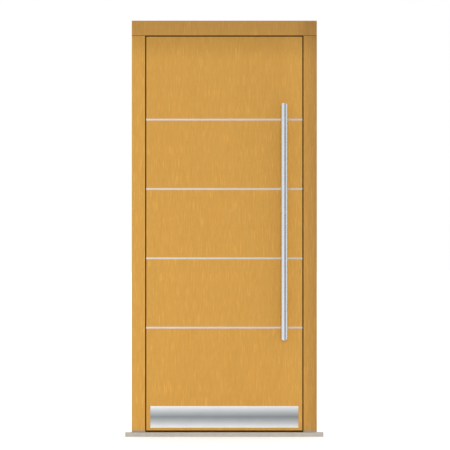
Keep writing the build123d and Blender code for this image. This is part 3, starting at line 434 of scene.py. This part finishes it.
slot_looks = {
    "oak_frame": oak_jamb_left,
    "oak_panel": oak_leaf,
    "timber": timber,
    "insulation": board,
    "stainless": stainless_satin,
    "inlay": inlay,
    "sill_finish": sill_finish,
    "threshold_aluminium": threshold,
    "pad_plastic": pad,
    "black_plastic": black_plastic,
    "seal_rubber": rubber,
    "zinc_steel": zinc,
    "cylinder_brass": nickel,
}
node_looks = {
    "jamb_lock_side": oak_jamb_right,
    "head": oak_head,
    "inner_facing": oak_inside,
    "pull_bar": stainless_bar,
    "kick_plate": kick_steel,
    "lock_faceplate": stainless_strip,
    "main_strike": stainless_strip,
    "upper_strike": stainless_strip,
    "lower_strike": stainless_strip,
}


def dress(node, material):
    """The node takes the material in all of its slots."""
    obj = nodes[node]
    if not obj.data.materials:
        obj.data.materials.append(material)
    for index in range(len(obj.material_slots)):
        obj.material_slots[index].material = material


for subpart in frame["record"]["subparts"]:
    name = subpart["node"]
    dress(name, node_looks.get(name, slot_looks[subpart["material_slot"]]))


def mesh_object(name, bm, material, sharp_degrees=40):
    """A mesh piece from bm, smooth except across sharp edges."""
    mesh = bpy.data.meshes.new(name)
    bmesh.ops.recalc_face_normals(bm, faces=bm.faces)
    for face in bm.faces:
        face.smooth = True
    for edge in bm.edges:
        if len(edge.link_faces) == 2 and edge.calc_face_angle(0.0) > math.radians(sharp_degrees):
            edge.smooth = False
    bm.to_mesh(mesh)
    bm.free()
    mesh.materials.append(material)
    obj = bpy.data.objects.new(name, mesh)
    bpy.context.scene.collection.objects.link(obj)
    return obj


def join_rings(bm, first, second):
    """A band of faces from one ring of vertices to the next."""
    for k in range(len(first)):
        n = (k + 1) % len(first)
        bm.faces.new((first[k], first[n], second[n], second[k]))


def make_camera():
    data = bpy.data.cameras.new("camera")
    data.type = "PERSP"
    data.lens = LENS_MM
    data.sensor_width = SENSOR_MM
    data.clip_start = 0.5
    data.clip_end = 200.0
    camera = bpy.data.objects.new("camera", data)
    camera.location = (VIEW_MIDDLE_X, LEAF_FACE_Y - CAMERA_DISTANCE, VIEW_MIDDLE_Z)
    camera.rotation_euler = (math.pi / 2, 0.0, 0.0)
    bpy.context.scene.collection.objects.link(camera)
    bpy.context.scene.camera = camera


def seen_rays(tree):
    """1 for the rays that look at a surface or at its reflection, 0 for those that light it."""
    path = tree.nodes.new("ShaderNodeLightPath")
    total = path.outputs["Is Camera Ray"]
    for kind in ("Is Glossy Ray", "Is Transmission Ray"):
        node = tree.nodes.new("ShaderNodeMath")
        node.operation = "MAXIMUM"
        tree.links.new(total, node.inputs[0])
        tree.links.new(path.outputs[kind], node.inputs[1])
        total = node.outputs[0]
    return total


# How bright the room is as light, and as the camera and the metal see it
ROOM_LIGHT, ROOM_SEEN = 0.75, 1.0


def make_room():
    """A plain room that the camera and the metal see as white."""
    world = bpy.data.worlds.new("room")
    bpy.context.scene.world = world
    world.use_nodes = True
    tree = world.node_tree
    tree.nodes.clear()
    out = tree.nodes.new("ShaderNodeOutputWorld")
    choose = tree.nodes.new("ShaderNodeMixShader")
    tree.links.new(seen_rays(tree), choose.inputs[0])
    for index, strength in ((1, ROOM_LIGHT), (2, ROOM_SEEN)):
        room = tree.nodes.new("ShaderNodeBackground")
        room.inputs["Color"].default_value = grey(1.0)
        room.inputs["Strength"].default_value = strength
        tree.links.new(room.outputs[0], choose.inputs[index])
    tree.links.new(choose.outputs[0], out.inputs["Surface"])


def lamp(name, azimuth, elevation, strength, spread):
    """A far lamp at azimuth degrees from the front and elevation degrees up, spread degrees
    across. Metal doesn't show it."""
    data = bpy.data.lights.new(name, "SUN")
    data.energy = strength
    data.angle = math.radians(spread)
    obj = bpy.data.objects.new(name, data)
    a, e = math.radians(azimuth), math.radians(elevation)
    back = Vector((math.sin(a) * math.cos(e), -math.cos(a) * math.cos(e), math.sin(e)))
    obj.rotation_mode = "QUATERNION"
    obj.rotation_quaternion = back.to_track_quat("Z", "Y")
    obj.visible_glossy = False
    bpy.context.scene.collection.objects.link(obj)


# The floor's tone as it takes light, and its tone and glow as the camera and the metal see it
FLOOR_LIT, FLOOR_SEEN, FLOOR_GLOW = 0.78, 0.9, 0.3
FLOOR_HALF = 70.0


def floor_material():
    """White to the camera and to metal, with the object's shadow kept."""
    material = bpy.data.materials.new("floor")
    material.use_nodes = True
    tree = material.node_tree
    tree.nodes.clear()
    out = tree.nodes.new("ShaderNodeOutputMaterial")
    plain = tree.nodes.new("ShaderNodeBsdfDiffuse")
    plain.inputs["Color"].default_value = grey(FLOOR_LIT)
    shown = tree.nodes.new("ShaderNodeBsdfDiffuse")
    shown.inputs["Color"].default_value = grey(FLOOR_SEEN)
    glow = tree.nodes.new("ShaderNodeEmission")
    glow.inputs["Strength"].default_value = FLOOR_GLOW
    lifted = tree.nodes.new("ShaderNodeAddShader")
    tree.links.new(shown.outputs[0], lifted.inputs[0])
    tree.links.new(glow.outputs[0], lifted.inputs[1])
    pick = tree.nodes.new("ShaderNodeMixShader")
    tree.links.new(seen_rays(tree), pick.inputs[0])
    tree.links.new(plain.outputs[0], pick.inputs[1])
    tree.links.new(lifted.outputs[0], pick.inputs[2])
    tree.links.new(pick.outputs[0], out.inputs["Surface"])
    return material


def make_floor():
    h = FLOOR_HALF
    bm = bmesh.new()
    bm.faces.new([bm.verts.new((x, y, 0.0)) for x, y in ((-h, -h), (h, -h), (h, h), (-h, h))])
    floor = mesh_object("floor", bm, floor_material())


# Grey cards, seen only in metal: dark up to the inner angle from their middle, white at the half angle
CARD_RADIUS, CARD_LOW, CARD_HIGH = 3.0, 0.001, 2.6
CARD_INNER, CARD_HALF = math.radians(30), math.radians(37)
CARD_STEPS = 32


def card_material(name, middle, level):
    """A glow that is level in the card's middle and white at its ends."""
    look = Look(name)
    along = look.math("SUBTRACT", look.axis("x"), BAR_X)
    away = look.math("SUBTRACT", BAR_Y, look.axis("y"))
    # The place's share along the card's middle direction is the cosine of its angle from it
    sideways = look.math("MULTIPLY", along, math.sin(middle))
    forward = look.math("ADD", sideways, look.math("MULTIPLY", away, math.cos(middle)))
    angle = look.math("ARCCOSINE", look.math("MULTIPLY", forward, 1 / CARD_RADIUS))
    glow = look.tree.nodes.new("ShaderNodeEmission")
    look.link(look.ramp(angle, CARD_INNER, CARD_HALF, level, 1.0), glow.inputs["Color"])
    look.link(glow.outputs[0], look.tree.nodes["Material Output"].inputs["Surface"])
    return look.material


def grey_card(name, azimuth, level):
    """An arc round the pull bar, its middle at azimuth degrees from the front, level its tone there."""
    middle = math.radians(azimuth)
    bm = bmesh.new()
    uprights = []
    for k in range(CARD_STEPS + 1):
        angle = middle + CARD_HALF * (2 * k / CARD_STEPS - 1)
        x, y = BAR_X + CARD_RADIUS * math.sin(angle), BAR_Y - CARD_RADIUS * math.cos(angle)
        uprights.append((bm.verts.new((x, y, CARD_LOW)), bm.verts.new((x, y, CARD_HIGH))))
    for first, second in zip(uprights, uprights[1:]):
        bm.faces.new((first[0], second[0], second[1], first[1]))
    card = mesh_object(name, bm, card_material(name, middle, level))
    card.visible_camera = False
    card.visible_diffuse = False
    card.visible_shadow = False


make_camera()
make_room()
lamp("key", 0, 9, 0.8, 14)
lamp("left_fill", -105, 25, 0.35, 40)
lamp("right_fill", 105, 25, 0.35, 40)
lamp("back_fill", 180, 35, 0.5, 30)
make_floor()

# The front card is the bar's soft dark band, the left one its shaded edge; the back one shapes the lever
grey_card("grey_card_front", 35, 0.48)
grey_card("grey_card_left", -108, 0.6)
grey_card("grey_card_back", 150, 0.35)


def rounded_rim(height, inward):
    """A tube end as (radius, height), from its outer wall over the rim to its inner wall. Inward
    is 1 where the tube goes on upwards and -1 where it goes on downwards."""
    inner = BAR_RADIUS - BAR_WALL
    return [
        (BAR_RADIUS, height + 2 * BAR_RIM * inward),
        (BAR_RADIUS, height + BAR_RIM * inward),
        (BAR_RADIUS - 0.3 * BAR_RIM, height + 0.3 * BAR_RIM * inward),
        (BAR_RADIUS - BAR_RIM, height),
        (inner + BAR_RIM, height),
        (inner, height + BAR_RIM * inward),
    ]


def slanted_tube():
    """The pull bar's tube. Each ring leans with its end's cut and is square in the middle."""
    bm = bmesh.new()

    def ring(radius, height, lean):
        verts = []
        for k in range(BAR_SEGMENTS):
            angle = 2 * math.pi * k / BAR_SEGMENTS
            x, y = radius * math.sin(angle), radius * math.cos(angle)
            verts.append(bm.verts.new((BAR_X + x, BAR_Y + y, height + lean * y)))
        return verts

    low_middle, high_middle = bar_low.z + BAR_RADIUS, bar_high.z - BAR_RADIUS
    run_low, run_high = low_middle + 2 * BAR_RIM, high_middle - 2 * BAR_RIM
    rings = [ring(radius, height, 1.0) for radius, height in reversed(rounded_rim(low_middle, 1))]
    for k in range(1, BAR_SPANS):
        share = k / BAR_SPANS
        rings.append(ring(BAR_RADIUS, run_low + share * (run_high - run_low), 1.0 - 2.0 * share))
    rings += [ring(radius, height, -1.0) for radius, height in rounded_rim(high_middle, -1)]
    for first, second in zip(rings, rings[1:] + rings[:1]):
        join_rings(bm, first, second)
    return mesh_object("pull_bar_tube", bm, stainless_bar)


# The pull bar's fine tube stands for the faceted one
tube = slanted_tube()
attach(tube, "leaf")
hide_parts("pull_bar")

# Screws: length, head radius and shank radius
SMALL_SCREW = (0.030, 0.0045, 0.0022)
LONG_SCREW = (0.130, 0.006, 0.003)
CYLINDER_SCREW = (0.069, 0.0045, 0.0022)
SCREW_SEGMENTS, LOBES = 24, 6

# The head's rings from its recess outwards: radius and depth as shares of its radius, and lobe height
HEAD_RINGS = (
    (0.28, 0.42, 0.16),
    (0.40, 0.05, 0.16),
    (0.45, 0.0, 0.14),
    (0.92, 0.0, 0.0),
    (0.985, 0.03, 0.0),
    (0.985, 0.07, 0.0),
)

# The thread: its start as a share of the length, its core, crest and pitch of the shank's radius
THREAD_START, THREAD_CORE, THREAD_CREST, THREAD_PITCH = 0.36, 0.72, 0.98, 1.1

# The groove's start and end as shares of the pitch, and the point's radius as a share of the core's
GROOVE_START, GROOVE_END = 0.3, 0.7
POINT_SHARE = 0.1


def add_screw(bm, head, toward, length, head_radius, shank_radius):
    """A countersunk wood screw with a lobed recess. Head is the middle of its head's face, and
    toward is the direction of its point."""
    along = Vector(toward)
    side = Vector((0.0, 1.0, 0.0)) if abs(along.y) < 0.5 else Vector((1.0, 0.0, 0.0))
    other = along.cross(side)

    def ring(radius, depth, lobe=0.0):
        verts = []
        for k in range(SCREW_SEGMENTS):
            angle = 2 * math.pi * k / SCREW_SEGMENTS
            reach = radius * (1 + lobe * math.cos(LOBES * angle))
            outward = side * math.cos(angle) + other * math.sin(angle)
            verts.append(bm.verts.new(Vector(head) + along * depth + outward * reach))
        return verts

    rings = [ring(r * head_radius, depth * head_radius, lobe) for r, depth, lobe in HEAD_RINGS]
    rings.append(ring(shank_radius, head_radius - shank_radius))

    core = shank_radius * THREAD_CORE
    pitch = shank_radius * THREAD_PITCH
    depth = length * THREAD_START
    rings.append(ring(shank_radius, depth))
    while depth + pitch < length - 2 * shank_radius:
        rings.append(ring(core, depth + GROOVE_START * pitch))
        rings.append(ring(core, depth + GROOVE_END * pitch))
        rings.append(ring(shank_radius * THREAD_CREST, depth + pitch))
        depth += pitch
    rings.append(ring(core, depth + GROOVE_START * pitch))
    rings.append(ring(POINT_SHARE * core, length))

    for first, second in zip(rings, rings[1:]):
        join_rings(bm, first, second)
    bm.faces.new(rings[0])
    bm.faces.new(rings[-1])


def middle_height(node):
    low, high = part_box(node)
    return (low.z + high.z) / 2


LEFT, RIGHT = (-1.0, 0.0, 0.0), (1.0, 0.0, 0.0)
UP, DOWN = (0.0, 0.0, 1.0), (0.0, 0.0, -1.0)

# Hinge wings: the y of each screw and its rise from the middle of the hinge
WING_SCREWS = ((0.024, -0.044), (0.016, 0.0), (0.024, 0.044))
hinge_heights = [middle_height(f"hinge_pin_{number}") for number in (1, 2, 3)]
wing_spots = [(y, height + rise) for height in hinge_heights for y, rise in WING_SCREWS]

# Lock: the main strike's screws lie inside its ends, the others on both sides of their bolt
STRIKE_INSET, BOLT_REACH, CYLINDER_DROP = 0.015, 0.024, 0.014
strike_heights = [strike_low.z + STRIKE_INSET, strike_high.z - STRIKE_INSET]
for strike in ("lower_strike", "upper_strike"):
    strike_heights += [middle_height(strike) - BOLT_REACH, middle_height(strike) + BOLT_REACH]
faceplate_heights = (0.280, 0.650, 0.900, 1.130, 1.400, 1.920)
cylinder_screw_height = middle_height("cylinder_rosette") - CYLINDER_DROP

# Frame corners: through the head into the jambs, and up through the sill
CORNER_X = FRAME_HALF - 0.025
HEAD_SCREW_Z, HEAD_SCREW_Y = FRAME_TOP - 0.010, (-0.02, 0.02)
SILL_SCREW_Z, SILL_SCREW_Y = 0.002, (-0.026, 0.02)
corner_xs = (-CORNER_X, CORNER_X)

screw_sets = {
    "leaf_screws": (
        "leaf",
        [((-LIP_HALF, y, z), RIGHT, SMALL_SCREW) for y, z in wing_spots]
        + [((LIP_HALF, LOCK_Y, z), LEFT, SMALL_SCREW) for z in faceplate_heights],
    ),
    "frame_screws": (
        "frame",
        [((-REBATE_HALF, y, z), LEFT, SMALL_SCREW) for y, z in wing_spots]
        + [((REBATE_HALF, LOCK_Y, z), RIGHT, SMALL_SCREW) for z in strike_heights],
    ),
    "long_screws": (
        "frame",
        [((x, y, HEAD_SCREW_Z), DOWN, LONG_SCREW) for x in corner_xs for y in HEAD_SCREW_Y]
        + [((x, y, SILL_SCREW_Z), UP, LONG_SCREW) for x in corner_xs for y in SILL_SCREW_Y],
    ),
    "cylinder_screw": (
        "leaf",
        [((LIP_HALF, LOCK_Y, cylinder_screw_height), LEFT, CYLINDER_SCREW)],
    ),
}

# The lobed and threaded screws stand for the plain ones
for node, (body, screws) in screw_sets.items():
    bm = bmesh.new()
    for place, toward, sizes in screws:
        add_screw(bm, place, toward, *sizes)
    piece = mesh_object(f"{node}_lobed", bm, zinc, sharp_degrees=30)
    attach(piece, body)
    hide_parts(node)

bpy.context.scene.view_settings.view_transform = "Standard"
